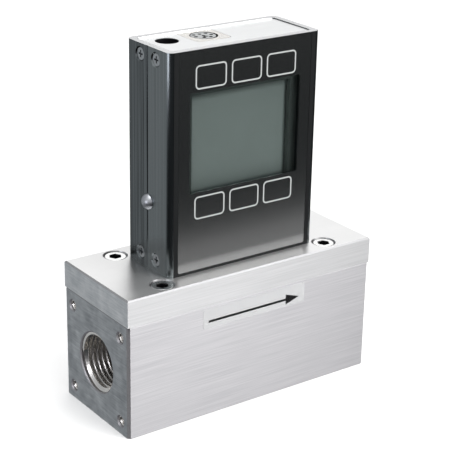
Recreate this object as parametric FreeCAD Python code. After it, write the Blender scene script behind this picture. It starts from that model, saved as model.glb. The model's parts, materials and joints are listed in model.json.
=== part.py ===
import FreeCAD, Part
import math
import os

# Mass flow meter: a metal flow block that carries a display head.
# The flow runs along +X, the display faces -Y and +Z is up.
# The origin is the middle of the flow block's bottom face. All sizes are millimetres.

V = FreeCAD.Vector
ORIGIN = V(0, 0, 0)
X_AXIS = V(1, 0, 0)
Y_AXIS = V(0, 1, 0)
Z_AXIS = V(0, 0, 1)

# Flow block
BLOCK_LENGTH = 101.6
BLOCK_WIDTH = 40.64
BODY_HEIGHT = 40.5
BODY_CORNER_CHAMFER = 0.9
PARTING_CHAMFER = 0.35
PLATE_THICKNESS = 9.5
PLATE_CHAMFER = 0.5

# Pipe ports, one in each end face
PORT_HEIGHT = 19.9
PORT_THREAD_RADIUS = 10.5
PORT_THREAD_DEPTH = 15.0
PORT_MOUTH_CHAMFER = 0.4
PORT_SHOULDER = 1.5

# Tapped holes round each port and in the block's bottom
TAPPED_HOLE_RADIUS = 1.75
TAPPED_HOLE_DEPTH = 9.0
TAPPED_HOLE_COUNTERSINK = 0.5
END_HOLE_SPACING = 30.6
BASE_HOLE_SPACING_X = 76.2
BASE_HOLE_SPACING_Y = 25.4

# Laminar flow element and what holds it in the bore
ELEMENT_LENGTH = 33.0
ELEMENT_SHOULDER = 0.8
ELEMENT_RIM = 1.5
ELEMENT_SLOT_WIDTH = 0.55
ELEMENT_SLOT_PITCH = 1.1
ELEMENT_SEAL_INSET = 5.0
ELEMENT_SEAL_SECTION = 1.0
BORE_FIT_GAP = 0.05
SPACER_LENGTH = 11.5
SPACER_WALL = 1.1
STRAIGHTENER_THICKNESS = 3.0
STRAIGHTENER_CELL = 2.5
STRAIGHTENER_WEB = 0.5
STRAIGHTENER_RINGS = 2
RING_THICKNESS = 1.1
RING_RADIAL_WIDTH = 1.8
RING_GROOVE_DEPTH = 0.5
RING_GAP_ANGLE = 50.0
RING_LUG_RADIUS = 1.2
RING_LUG_HOLE = 0.5

# Gas passages from the bore to the sensors
TAP_OFFSET = 3.0
TAP_RADIUS = 0.9
CHANNEL_WIDTH = 1.6
CHANNEL_DEPTH = 2.0
CHANNEL_SEAL_MARGIN = 0.7
CHANNEL_SEAL_WIDTH = 1.4
CHANNEL_SEAL_HEIGHT = 1.0
SENSOR_PORT_PITCH = 14.0
GAUGE_PORT_OFFSET = 8.0
PORT_SEAL_SECTION = 0.9
PORT_SEAL_CLEAR = 0.4
PROBE_RADIUS = 1.0
PROBE_FIT_GAP = 0.1
PROBE_SETBACK = 5.1

# Cap screws that clamp the plate to the body
COVER_SCREW_INSET_X = 16.8
COVER_SCREW_INSET_Y = 5.62
COVER_SCREW_HEAD_RADIUS = 3.95
COVER_SCREW_HEAD_HEIGHT = 4.8
COVER_SCREW_SHANK_RADIUS = 2.4
COVER_SCREW_LENGTH = 16.0
COVER_SCREW_KEY = 4.0
COUNTERBORE_GAP = 0.4
COUNTERBORE_SINK = 0.3
THREAD_GAP = 0.03
HOLE_END_GAP = 1.0
CUT_OVERSHOOT = 1.0
EDGE_TOLERANCE = 0.01

# Display head
HEAD_WIDTH = 60.4
HEAD_DEPTH = 25.4
HEAD_HEIGHT = 76.4
SHELL_WALL = 2.4
HEAD_CORNER_RADIUS = 2.2
INNER_CORNER_RADIUS = 0.8
SEAM_CHAMFER = 0.3
TONGUE_LENGTH = 1.2
TONGUE_WIDTH = 1.1
TONGUE_GAP = 0.1
BLOCK_FIT_GAP = 0.15
BASE_BLOCK_HEIGHT = 8.0
CAP_THICKNESS = 6.0
CAP_SINK = 0.3

# Countersunk screws through the shell sides
SHELL_SCREW_Y = 4.6
SHELL_SCREW_BASE_INSET = 4.1
SHELL_SCREW_TOP_INSET = 3.7
SHELL_SCREW_HEAD_RADIUS = 2.05
SHELL_SCREW_SHANK_RADIUS = 1.25
SHELL_SCREW_LENGTH = 7.5
SHELL_SCREW_SINK = 0.4
SHELL_SCREW_RIM = 0.15
SHELL_SCREW_CROSS_LENGTH = 2.4
SHELL_SCREW_CROSS_WIDTH = 0.6
SHELL_SCREW_CROSS_DEPTH = 1.0
SHELL_HOLE_GAP = 0.15
COUNTERSINK_HALF_ANGLE = 41.0

# Screws that hold the base block down on the plate
BASE_SCREW_X = 16.5
BASE_SCREW_Y = 6.3
BASE_SCREW_HEAD_RADIUS = 2.3
BASE_SCREW_HEAD_HEIGHT = 2.8
BASE_SCREW_SHANK_RADIUS = 1.4
BASE_SCREW_LENGTH = 11.0
BASE_SCREW_KEY = 2.4

# Keypad label with its circuit layer, and the display window
LABEL_MARGIN_SIDE = 3.7
LABEL_MARGIN_FOOT = 1.0
LABEL_MARGIN_TOP = 0.5
LABEL_SINK = 0.05
LABEL_EDGE_GAP = 0.1
LABEL_CORNER_RADIUS = 0.8
OVERLAY_THICKNESS = 0.25
CIRCUIT_THICKNESS = 0.25
CIRCUIT_TAIL_WIDTH = 12.0
WINDOW_WIDTH = 44.4
WINDOW_HEIGHT = 34.1
WINDOW_FOOT = 28.3
WINDOW_CORNER_RADIUS = 0.6
WINDOW_GAP = 0.1
PANE_FLANGE_WIDTH = 1.6
PANE_FLANGE_THICKNESS = 1.2
PANE_LEDGE = 0.9

# Display module behind the window
DISPLAY_WIDTH = 39.8
DISPLAY_HEIGHT = 35.1
DISPLAY_TOP = 60.7
DISPLAY_BORDER = 2.4
FRAME_WALL = 1.2
GLASS_THICKNESS = 2.0
BACKLIGHT_THICKNESS = 1.5
CONTACT_STRIP_HEIGHT = 2.0

# Circuit boards
BOARD_THICKNESS = 1.6
BOARD_END_GAP = 1.2
BOARD_FOOT_GAP = 0.6
BOARD_TAB_WIDTH = 4.5
BOARD_SLOT_DEPTH = 1.0
BOARD_SLOT_GAP = 0.1
SENSOR_BOARD_STANDOFF = 6.0
SENSOR_BOARD_DEPTH = 12.4
SENSOR_BOARD_GAP = 0.2
STANDOFF_X = 22.4
STANDOFF_Y = 6.3
STANDOFF_RADIUS = 2.2
STANDOFF_BORE = 1.25
SENSOR_SCREW_HEAD_RADIUS = 2.0
SENSOR_SCREW_HEAD_HEIGHT = 1.6
SENSOR_SCREW_LENGTH = 5.0
SENSOR_SCREW_SLOT = 0.6

# Sensors and other parts on the boards
DIFFERENTIAL_SENSOR_WIDTH = 20.0
SENSOR_DEPTH = 8.4
SENSOR_ROOF = 1.6
GAUGE_SENSOR_WIDTH = 7.0
GAUGE_SENSOR_SHIFT = 1.0
SENSOR_CORNER_RADIUS = 0.6
SENSOR_PORT_RADIUS = 1.2
SENSOR_PORT_BORE = 0.5
SENSOR_PORT_LENGTH = 3.0
SENSOR_FOOT_GAP = 0.4
CHIP_SIDE = 12.0
CHIP_HEIGHT = 1.6
CHIP_RISE = 30.0
CAPACITOR_RADIUS = 3.2
CAPACITOR_LENGTH = 8.0
CAPACITOR_X = 16.0
CAPACITOR_RISE = 25.0
HEADER_LENGTH = 20.0
HEADER_SIDE = 2.5

# Power jack and data socket in the top cap
SOCKET_LINE_Y = 2.7
JACK_INSET = 9.2
JACK_HOLE_RADIUS = 3.95
JACK_BORE_RADIUS = 3.15
JACK_BORE_DEPTH = 10.0
JACK_BODY_WIDTH = 8.8
JACK_BODY_HEIGHT = 14.0
JACK_PIN_RADIUS = 1.05
JACK_PIN_RECESS = 1.5
SOCKET_BODY_DEPTH = 12.2
SOCKET_PITCH = 14.4
SOCKET_BODY_HEIGHT = 10.0
SOCKET_BODY_TOP_GAP = 2.9
FLANGE_WIDTH = 13.6
FLANGE_THICKNESS = 1.0
FLANGE_CORNER_RADIUS = 2.0
FLANGE_GAP = 0.12
SOCKET_RADIUS = 4.8
SOCKET_SHELL_WALL = 0.6
INSULATOR_RADIUS = 4.15
INSULATOR_SINK = 0.6
CONTACT_RADIUS = 0.5
CONTACT_SINK = 0.8
CONTACT_ROWS = ((2.1, (-2.4, 0.0, 2.4)), (-0.3, (-3.0, 0.0, 3.0)), (-2.6, (-1.3, 1.3)))
KEYWAY_WIDTH = 1.9
KEYWAY_HEIGHT = 0.9
KEYWAY_DROP = 1.45
KEYWAY_DEPTH = 3.0

# Side button at the shells' seam, and its switch
BUTTON_RISE = 23.5
BUTTON_RADIUS = 2.8
BUTTON_PROUD = 2.0
BUTTON_FLANGE_WIDTH = 0.9
BUTTON_FLANGE_THICKNESS = 0.8
BUTTON_STEM_RADIUS = 1.6
BUTTON_FIT_GAP = 0.08
BUTTON_STOP_GAP = 0.05
BUTTON_TRAVEL = 0.8
BUTTON_STEM_LENGTH = 2.4
BUTTON_ROOM_GAP = 0.3
PLUNGER_RADIUS = 1.2
PLUNGER_PROUD = 1.2
PLUNGER_LENGTH = 3.0
PLUNGER_FIT_GAP = 0.08
SWITCH_LENGTH = 4.5
SWITCH_HEIGHT = 6.0

# Flow direction label on the block's front face
ARROW_LABEL_LENGTH = 42.7
ARROW_LABEL_HEIGHT = 7.2
ARROW_LABEL_DROP = 0.9
ARROW_LABEL_THICKNESS = 0.1
ARROW_LABEL_CORNER = 0.8

# Places that follow from the sizes above
END_X = BLOCK_LENGTH / 2
SIDE_Y = BLOCK_WIDTH / 2
PLATE_TOP = BODY_HEIGHT + PLATE_THICKNESS
BORE_RADIUS = PORT_THREAD_RADIUS - PORT_SHOULDER
OUTLET_RADIUS = BORE_RADIUS - ELEMENT_SHOULDER
ELEMENT_END = ELEMENT_LENGTH / 2
SPACER_START = -ELEMENT_END - SPACER_LENGTH
STRAIGHTENER_START = SPACER_START - STRAIGHTENER_THICKNESS
RING_START = STRAIGHTENER_START - RING_THICKNESS
TAP_X = ELEMENT_END + TAP_OFFSET
PROBE_X = -TAP_X - PROBE_SETBACK
SENSOR_PORT_X = SENSOR_PORT_PITCH / 2
GAUGE_PORT_X = -SENSOR_PORT_X - GAUGE_PORT_OFFSET
COVER_SCREW_X = END_X - COVER_SCREW_INSET_X
COVER_SCREW_Y = SIDE_Y - COVER_SCREW_INSET_Y
COUNTERBORE_FLOOR = PLATE_TOP - COVER_SCREW_HEAD_HEIGHT - COUNTERBORE_SINK

HEAD_X = HEAD_WIDTH / 2
HEAD_Y = HEAD_DEPTH / 2
HEAD_TOP = PLATE_TOP + HEAD_HEIGHT
INNER_X = HEAD_X - SHELL_WALL
INNER_Y = HEAD_Y - SHELL_WALL
FILL_X = INNER_X - BLOCK_FIT_GAP
FILL_Y = INNER_Y - BLOCK_FIT_GAP
BASE_TOP = PLATE_TOP + BASE_BLOCK_HEIGHT
CAP_TOP = HEAD_TOP - CAP_SINK
CAP_FOOT = CAP_TOP - CAP_THICKNESS
SHELL_SCREW_LEVELS = (PLATE_TOP + SHELL_SCREW_BASE_INSET, HEAD_TOP - SHELL_SCREW_TOP_INSET)

LABEL_X = HEAD_X - LABEL_MARGIN_SIDE
LABEL_FOOT = PLATE_TOP + LABEL_MARGIN_FOOT
LABEL_TOP = HEAD_TOP - LABEL_MARGIN_TOP
OVERLAY_Y = -HEAD_Y + LABEL_SINK
CIRCUIT_Y = OVERLAY_Y + OVERLAY_THICKNESS
RECESS_Y = CIRCUIT_Y + CIRCUIT_THICKNESS
PANE_BACK_Y = RECESS_Y + PANE_FLANGE_THICKNESS
WINDOW_X = WINDOW_WIDTH / 2
WINDOW_BOTTOM = PLATE_TOP + WINDOW_FOOT
WINDOW_TOP = WINDOW_BOTTOM + WINDOW_HEIGHT

BOARD_REAR_Y = SOCKET_LINE_Y - SOCKET_BODY_DEPTH / 2
BOARD_FRONT_Y = BOARD_REAR_Y - BOARD_THICKNESS
BACKLIGHT_Y = BOARD_FRONT_Y - BACKLIGHT_THICKNESS
GLASS_Y = BACKLIGHT_Y - GLASS_THICKNESS
DISPLAY_X = DISPLAY_WIDTH / 2
DISPLAY_HIGH = PLATE_TOP + DISPLAY_TOP
DISPLAY_LOW = DISPLAY_HIGH - DISPLAY_HEIGHT
GLASS_X = DISPLAY_X + DISPLAY_BORDER
GLASS_LOW = DISPLAY_LOW - DISPLAY_BORDER
GLASS_HIGH = DISPLAY_HIGH + DISPLAY_BORDER

SENSOR_BOARD_FOOT = BASE_TOP + SENSOR_BOARD_STANDOFF
SENSOR_BOARD_TOP = SENSOR_BOARD_FOOT + BOARD_THICKNESS
SENSOR_FRONT_Y = BOARD_REAR_Y + SENSOR_BOARD_GAP
PORT_SEAL_BORE = TAP_RADIUS + PORT_SEAL_CLEAR
PORT_SEAL_RADIUS = PORT_SEAL_BORE + PORT_SEAL_SECTION
SENSOR_POCKET_RADIUS = SENSOR_PORT_RADIUS + PORT_SEAL_SECTION

JACK_X = -HEAD_X + JACK_INSET
SOCKET_X = JACK_X + SOCKET_PITCH
FLANGE_FOOT = CAP_TOP - FLANGE_THICKNESS
SOCKET_BODY_TOP = CAP_FOOT - SOCKET_BODY_TOP_GAP
BUTTON_Z = PLATE_TOP + BUTTON_RISE
BUTTON_FLANGE_RADIUS = BUTTON_RADIUS + BUTTON_FLANGE_WIDTH
BUTTON_FLANGE_X = -INNER_X + BUTTON_STOP_GAP
BUTTON_STEM_X = BUTTON_FLANGE_X + BUTTON_FLANGE_THICKNESS
PLUNGER_X = BUTTON_STEM_X + BUTTON_STEM_LENGTH
SWITCH_X = PLUNGER_X + PLUNGER_PROUD


def box(x0, x1, y0, y1, z0, z1):
    """Block between two corners."""
    return Part.makeBox(x1 - x0, y1 - y0, z1 - z0, V(x0, y0, z0))


def rod(radius, start, end):
    """Cylinder from one point to another."""
    return Part.makeCylinder(radius, (end - start).Length, start, end - start)


def upright(radius, x, y, z0, z1):
    """Upright cylinder between two heights."""
    return rod(radius, V(x, y, z0), V(x, y, z1))


def along_flow(radius, x0, x1):
    """Cylinder on the flow axis between two places along X."""
    return rod(radius, V(x0, 0, PORT_HEIGHT), V(x1, 0, PORT_HEIGHT))


def along_press(radius, x0, x1):
    """Cylinder on the side button's axis between two places along X."""
    return rod(radius, V(x0, 0, BUTTON_Z), V(x1, 0, BUTTON_Z))


def cone(start_radius, end_radius, start, end):
    """Cone from one point to another."""
    return Part.makeCone(start_radius, end_radius, (end - start).Length, start, end - start)


def straight_edges(shape, axis):
    """Straight edges that run along an axis."""
    lines = [edge for edge in shape.Edges if isinstance(edge.Curve, Part.Line)]
    return [line for line in lines if line.Curve.Direction.cross(axis).Length < EDGE_TOLERANCE]


def at_level(edges, axis, level):
    """Those of the edges that lie at one level along an axis."""
    found = []
    for edge in edges:
        heights = [point.dot(axis) for point in edge.discretize(3)]
        if max(abs(height - level) for height in heights) < EDGE_TOLERANCE:
            found.append(edge)
    return found


def rounded_block(x0, x1, y0, y1, z0, z1, radius, axis):
    """Block whose four edges along an axis are rounded."""
    block = box(x0, x1, y0, y1, z0, z1)
    return block.makeFillet(radius, straight_edges(block, axis))


def hexagon(centre, across_flats, start, height):
    """Hexagonal bar along Z, its foot at the start height."""
    reach = across_flats / math.sqrt(3)
    corners = []
    for step in range(7):
        angle = math.radians(60 * step)
        corners.append(centre + V(reach * math.cos(angle), reach * math.sin(angle), start))
    return Part.Face(Part.makePolygon(corners)).extrude(V(0, 0, height))


def cap_screw(head_radius, head_height, shank_radius, length, key):
    """Socket head cap screw that points down, its seat at the origin."""
    head = rod(head_radius, ORIGIN, V(0, 0, head_height))
    head = head.makeChamfer(head_radius / 10, at_level(head.Edges, Z_AXIS, head_height))
    shank = rod(shank_radius, V(0, 0, -length), ORIGIN)
    socket = hexagon(ORIGIN, key, head_height / 2, head_height)
    return head.fuse(shank).cut(socket).removeSplitter()


def at_corners(shape, x, y):
    """One copy of a shape at each corner of a rectangle about the Z axis."""
    copies = []
    for side in (-1, 1):
        for face in (-1, 1):
            copies.append(shape.translated(V(side * x, face * y, 0)))
    return copies


def tapped_hole(mouth, inward):
    """Tapped hole with a countersunk mouth, as the solid that it takes away."""
    bottom = mouth + inward * TAPPED_HOLE_DEPTH
    hole = rod(TAPPED_HOLE_RADIUS, mouth, bottom)
    mouth_radius = TAPPED_HOLE_RADIUS + TAPPED_HOLE_COUNTERSINK
    countersink = cone(mouth_radius, TAPPED_HOLE_RADIUS, mouth, mouth + inward * TAPPED_HOLE_COUNTERSINK)
    drill_tip = cone(TAPPED_HOLE_RADIUS, 0, bottom, bottom + inward * (TAPPED_HOLE_RADIUS / 2))
    return hole.fuse([countersink, drill_tip])


def port(side):
    """Threaded port and its counterbores at one end, as the solid that it takes away."""
    inward = V(-side, 0, 0)
    mouth = V(side * END_X, 0, PORT_HEIGHT)
    bottom = mouth + inward * PORT_THREAD_DEPTH
    thread = rod(PORT_THREAD_RADIUS, mouth, bottom)
    mouth_radius = PORT_THREAD_RADIUS + PORT_MOUTH_CHAMFER
    chamfer = cone(mouth_radius, PORT_THREAD_RADIUS, mouth, mouth + inward * PORT_MOUTH_CHAMFER)
    inner_radius = BORE_RADIUS if side < 0 else OUTLET_RADIUS
    shoulder = cone(PORT_THREAD_RADIUS, inner_radius, bottom, bottom + inward * PORT_SHOULDER)
    cut = thread.fuse([chamfer, shoulder])
    for across in (-1, 1):
        for up in (-1, 1):
            place = V(0, across * END_HOLE_SPACING / 2, up * END_HOLE_SPACING / 2)
            cut = cut.fuse(tapped_hole(mouth + place, inward))
    return cut


def flow_body():
    """Lower block with the flow bore, both ports and the pressure taps."""
    body = box(-END_X, END_X, -SIDE_Y, SIDE_Y, 0, BODY_HEIGHT)
    body = body.makeChamfer(BODY_CORNER_CHAMFER, straight_edges(body, Z_AXIS))
    body = body.makeChamfer(PARTING_CHAMFER, at_level(body.Edges, Z_AXIS, BODY_HEIGHT))
    cuts = [port(-1), port(1)]
    cuts.append(along_flow(BORE_RADIUS, -END_X + PORT_THREAD_DEPTH, ELEMENT_END))
    cuts.append(along_flow(OUTLET_RADIUS, ELEMENT_END, END_X - PORT_THREAD_DEPTH))
    cuts.append(along_flow(BORE_RADIUS + RING_GROOVE_DEPTH, RING_START - BORE_FIT_GAP, STRAIGHTENER_START))
    for x in (-TAP_X, TAP_X):
        cuts.append(upright(TAP_RADIUS, x, 0, PORT_HEIGHT, BODY_HEIGHT))
    probe_bore = PROBE_RADIUS + PROBE_FIT_GAP
    cuts.append(upright(probe_bore, PROBE_X, 0, PORT_HEIGHT, BODY_HEIGHT))
    screw_end = COUNTERBORE_FLOOR - COVER_SCREW_LENGTH - HOLE_END_GAP
    screw_hole = upright(COVER_SCREW_SHANK_RADIUS + THREAD_GAP, 0, 0, screw_end, BODY_HEIGHT)
    cuts += at_corners(screw_hole, COVER_SCREW_X, COVER_SCREW_Y)
    for x in (-BASE_HOLE_SPACING_X / 2, BASE_HOLE_SPACING_X / 2):
        for y in (-BASE_HOLE_SPACING_Y / 2, BASE_HOLE_SPACING_Y / 2):
            cuts.append(tapped_hole(V(x, y, 0), Z_AXIS))
    return body.cut(cuts)


def track(x0, x1, half_width, z0, z1):
    """Solid with round ends along X, such as a milled channel."""
    middle = box(x0, x1, -half_width, half_width, z0, z1)
    ends = [upright(half_width, x, 0, z0, z1) for x in (x0, x1)]
    return middle.fuse(ends).removeSplitter()


def channel_span(side):
    """Ends of one gas channel along X, the lower first."""
    inner = SENSOR_PORT_X * side
    outer = TAP_X * side
    return min(inner, outer), max(inner, outer)


def channel_ring(side, height):
    """Ring round one gas channel, standing on the parting plane."""
    x0, x1 = channel_span(side)
    inner = CHANNEL_WIDTH / 2 + CHANNEL_SEAL_MARGIN
    outer = inner + CHANNEL_SEAL_WIDTH
    top = BODY_HEIGHT + height
    return track(x0, x1, outer, BODY_HEIGHT, top).cut(track(x0, x1, inner, BODY_HEIGHT, top))


def top_plate():
    """Plate that closes the block and carries the gas channels and the head."""
    plate = box(-END_X, END_X, -SIDE_Y, SIDE_Y, BODY_HEIGHT, PLATE_TOP)
    plate = plate.makeChamfer(PLATE_CHAMFER, at_level(plate.Edges, Z_AXIS, PLATE_TOP))
    clearance = upright(COVER_SCREW_SHANK_RADIUS + COUNTERBORE_GAP / 2, 0, 0, BODY_HEIGHT, PLATE_TOP)
    pocket = upright(COVER_SCREW_HEAD_RADIUS + COUNTERBORE_GAP, 0, 0, COUNTERBORE_FLOOR, PLATE_TOP)
    cuts = at_corners(clearance.fuse(pocket), COVER_SCREW_X, COVER_SCREW_Y)
    for side in (-1, 1):
        x0, x1 = channel_span(side)
        cuts.append(track(x0, x1, CHANNEL_WIDTH / 2, BODY_HEIGHT, BODY_HEIGHT + CHANNEL_DEPTH))
        cuts.append(channel_ring(side, CHANNEL_SEAL_HEIGHT))
    for x in (GAUGE_PORT_X, -SENSOR_PORT_X, SENSOR_PORT_X):
        cuts.append(upright(TAP_RADIUS, x, 0, BODY_HEIGHT, PLATE_TOP))
    cuts.append(upright(PROBE_RADIUS + PROBE_FIT_GAP, PROBE_X, 0, BODY_HEIGHT, PLATE_TOP))
    cuts.append(seal_pocket(PROBE_X, BODY_HEIGHT))
    hole_end = BASE_TOP - BASE_SCREW_HEAD_HEIGHT - COUNTERBORE_SINK - BASE_SCREW_LENGTH - HOLE_END_GAP
    thread = upright(BASE_SCREW_SHANK_RADIUS + THREAD_GAP, 0, 0, hole_end, PLATE_TOP)
    cuts += at_corners(thread, BASE_SCREW_X, BASE_SCREW_Y)
    return plate.cut(cuts)


def cover_screws():
    """Four cap screws that clamp the plate on the body."""
    screw = cap_screw(COVER_SCREW_HEAD_RADIUS, COVER_SCREW_HEAD_HEIGHT, COVER_SCREW_SHANK_RADIUS,
                      COVER_SCREW_LENGTH, COVER_SCREW_KEY)
    screw.translate(V(0, 0, COUNTERBORE_FLOOR))
    return Part.makeCompound(at_corners(screw, COVER_SCREW_X, COVER_SCREW_Y))


def laminar_element():
    """Cartridge whose parallel slots make the flow laminar."""
    element = along_flow(BORE_RADIUS - BORE_FIT_GAP, -ELEMENT_END, ELEMENT_END)
    half_width = ELEMENT_SLOT_WIDTH / 2
    pack_radius = OUTLET_RADIUS - ELEMENT_RIM
    count = int((pack_radius - half_width) / ELEMENT_SLOT_PITCH)
    cuts = seal_rings(ELEMENT_SEAL_SECTION + 2 * BORE_FIT_GAP)
    for index in range(-count, count + 1):
        y = index * ELEMENT_SLOT_PITCH
        half_height = math.sqrt(pack_radius ** 2 - (abs(y) + half_width) ** 2)
        low = PORT_HEIGHT - half_height
        high = PORT_HEIGHT + half_height
        cuts.append(box(-ELEMENT_END, ELEMENT_END, y - half_width, y + half_width, low, high))
    return element.cut(cuts)


def seal_rings(width):
    """Two rings in the laminar element's surface, as its seals or as their grooves."""
    rings = []
    for side in (-1, 1):
        middle = side * (ELEMENT_END - ELEMENT_SEAL_INSET)
        x0 = middle - width / 2
        x1 = middle + width / 2
        ring = along_flow(BORE_RADIUS, x0, x1)
        rings.append(ring.cut(along_flow(BORE_RADIUS - ELEMENT_SEAL_SECTION, x0, x1)))
    return rings


def element_seals():
    """Two seal rings between the laminar element and the bore."""
    return Part.makeCompound(seal_rings(ELEMENT_SEAL_SECTION))


def spacer_sleeve():
    """Sleeve between the flow straightener and the laminar element."""
    radius = BORE_RADIUS - BORE_FIT_GAP
    sleeve = along_flow(radius, SPACER_START, -ELEMENT_END)
    cuts = [along_flow(radius - SPACER_WALL, SPACER_START, -ELEMENT_END)]
    cuts.append(upright(TAP_RADIUS, -TAP_X, 0, PORT_HEIGHT, BODY_HEIGHT))
    cuts.append(upright(PROBE_RADIUS + PROBE_FIT_GAP, PROBE_X, 0, PORT_HEIGHT, BODY_HEIGHT))
    return sleeve.cut(cuts)


def flow_straightener():
    """Disc with hexagonal cells that evens out the incoming flow."""
    disc = rod(BORE_RADIUS - BORE_FIT_GAP, ORIGIN, V(0, 0, STRAIGHTENER_THICKNESS))
    pitch = STRAIGHTENER_CELL + STRAIGHTENER_WEB
    cells = []
    for row in range(-STRAIGHTENER_RINGS, STRAIGHTENER_RINGS + 1):
        count = 2 * STRAIGHTENER_RINGS + 1 - abs(row)
        for index in range(count):
            across = (index - (count - 1) / 2) * pitch
            along = row * pitch * math.sqrt(3) / 2
            cell = hexagon(ORIGIN, STRAIGHTENER_CELL, 0, STRAIGHTENER_THICKNESS)
            cell.rotate(ORIGIN, Z_AXIS, 30)
            cells.append(cell.translated(V(across, along, 0)))
    disc = disc.cut(cells)
    disc.rotate(ORIGIN, Y_AXIS, 90)
    disc.translate(V(STRAIGHTENER_START, 0, PORT_HEIGHT))
    return disc


def retaining_ring():
    """Open spring ring with two lugs, in the groove of the bore."""
    outer = BORE_RADIUS + RING_GROOVE_DEPTH - BORE_FIT_GAP
    inner = outer - RING_RADIAL_WIDTH
    thickness = V(0, 0, RING_THICKNESS)
    ring = rod(outer, ORIGIN, thickness).cut(rod(inner, ORIGIN, thickness))
    half_gap = math.radians(RING_GAP_ANGLE / 2)
    reach = 2 * outer
    along = reach * math.cos(half_gap)
    across = reach * math.sin(half_gap)
    wedge = Part.makePolygon([ORIGIN, V(along, across, 0), V(along, -across, 0), ORIGIN])
    ring = ring.cut(Part.Face(wedge).extrude(thickness))
    lug_angle = half_gap + RING_LUG_RADIUS / inner
    for side in (-1, 1):
        centre = V(inner * math.cos(lug_angle), side * inner * math.sin(lug_angle), 0)
        ring = ring.fuse(rod(RING_LUG_RADIUS, centre, centre + thickness))
        ring = ring.cut(rod(RING_LUG_HOLE, centre, centre + thickness))
    ring.rotate(ORIGIN, Y_AXIS, 90)
    ring.translate(V(RING_START, 0, PORT_HEIGHT))
    return ring.removeSplitter()


def seal_pocket(x, foot):
    """Round pocket for one small port seal, above its foot."""
    return upright(PORT_SEAL_RADIUS, x, 0, foot, foot + PORT_SEAL_SECTION)


def square_ring(x, foot, bore):
    """Seal ring of square section round a bore along Z."""
    start = V(x, 0, foot)
    end = V(x, 0, foot + PORT_SEAL_SECTION)
    return rod(bore + PORT_SEAL_SECTION, start, end).cut(rod(bore, start, end))


def channel_seals():
    """Two oval rings that seal the gas channels against the body."""
    return Part.makeCompound([channel_ring(side, CHANNEL_SEAL_HEIGHT) for side in (-1, 1)])


def port_seals():
    """Small round seals under the plate and under the base block."""
    places = [(PROBE_X, BODY_HEIGHT)]
    places += [(x, PLATE_TOP) for x in (PROBE_X, GAUGE_PORT_X, -SENSOR_PORT_X, SENSOR_PORT_X)]
    return Part.makeCompound([square_ring(x, foot, PORT_SEAL_BORE) for x, foot in places])


def shell_screw_places():
    """Every shell screw as its side, its face and its height."""
    return [(side, face, z) for side in (-1, 1) for face in (-1, 1) for z in SHELL_SCREW_LEVELS]


def shell_screw_threads():
    """Tapped holes in the blocks behind the shell sides, as solids to take away."""
    head_top = HEAD_X - SHELL_SCREW_SINK
    end = head_top - SHELL_SCREW_LENGTH - HOLE_END_GAP
    radius = SHELL_SCREW_SHANK_RADIUS + THREAD_GAP
    holes = []
    for side, face, z in shell_screw_places():
        y = face * SHELL_SCREW_Y
        holes.append(rod(radius, V(side * end, y, z), V(side * HEAD_X, y, z)))
    return holes


def board_slots(foot, top):
    """Slots for the main board's corner tabs, between two heights."""
    slots = []
    inner = FILL_X - BOARD_END_GAP - BOARD_TAB_WIDTH - BOARD_SLOT_GAP
    outer = FILL_X - BOARD_END_GAP + BOARD_SLOT_GAP
    front = BOARD_FRONT_Y - BOARD_SLOT_GAP
    rear = BOARD_REAR_Y + BOARD_SLOT_GAP
    for side in (-1, 1):
        x0, x1 = sorted((side * inner, side * outer))
        slots.append(box(x0, x1, front, rear, foot, top))
    return slots


def base_block():
    """Block that joins the shells to the plate and leads the gas to the sensors."""
    block = box(-FILL_X, FILL_X, -FILL_Y, FILL_Y, PLATE_TOP, BASE_TOP)
    block = block.makeFillet(INNER_CORNER_RADIUS, straight_edges(block, Z_AXIS))
    seat = BASE_TOP - BASE_SCREW_HEAD_HEIGHT - COUNTERBORE_SINK
    clearance = upright(BASE_SCREW_SHANK_RADIUS + COUNTERBORE_GAP / 2, 0, 0, PLATE_TOP, BASE_TOP)
    pocket = upright(BASE_SCREW_HEAD_RADIUS + COUNTERBORE_GAP / 2, 0, 0, seat, BASE_TOP)
    cuts = at_corners(clearance.fuse(pocket), BASE_SCREW_X, BASE_SCREW_Y)
    for x in (GAUGE_PORT_X, -SENSOR_PORT_X, SENSOR_PORT_X):
        cuts.append(upright(TAP_RADIUS, x, 0, PLATE_TOP, BASE_TOP))
        cuts.append(seal_pocket(x, PLATE_TOP))
        pocket_foot = sensor_port_foot() - PORT_SEAL_SECTION / 2
        cuts.append(upright(SENSOR_POCKET_RADIUS, x, 0, pocket_foot, BASE_TOP))
    cuts.append(upright(PROBE_RADIUS + PROBE_FIT_GAP, PROBE_X, 0, PLATE_TOP, BASE_TOP))
    cuts.append(seal_pocket(PROBE_X, PLATE_TOP))
    cuts += shell_screw_threads()
    cuts += board_slots(BASE_TOP - BOARD_SLOT_DEPTH, BASE_TOP)
    return block.cut(cuts)


def base_screws():
    """Four small cap screws that hold the base block on the plate."""
    screw = cap_screw(BASE_SCREW_HEAD_RADIUS, BASE_SCREW_HEAD_HEIGHT, BASE_SCREW_SHANK_RADIUS,
                      BASE_SCREW_LENGTH, BASE_SCREW_KEY)
    screw.translate(V(0, 0, BASE_TOP - BASE_SCREW_HEAD_HEIGHT - COUNTERBORE_SINK))
    return Part.makeCompound(at_corners(screw, BASE_SCREW_X, BASE_SCREW_Y))


def temperature_probe():
    """Thin tube that reaches into the gas stream from the sensor board."""
    tip = V(PROBE_X, 0, PORT_HEIGHT)
    tube = rod(PROBE_RADIUS, tip, V(PROBE_X, 0, SENSOR_BOARD_FOOT))
    return tube.fuse(Part.makeSphere(PROBE_RADIUS, tip)).removeSplitter()


def sensor_port_foot():
    """Height of the lower ends of the sensors' ports."""
    return BASE_TOP + SENSOR_FOOT_GAP - SENSOR_PORT_LENGTH


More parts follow.
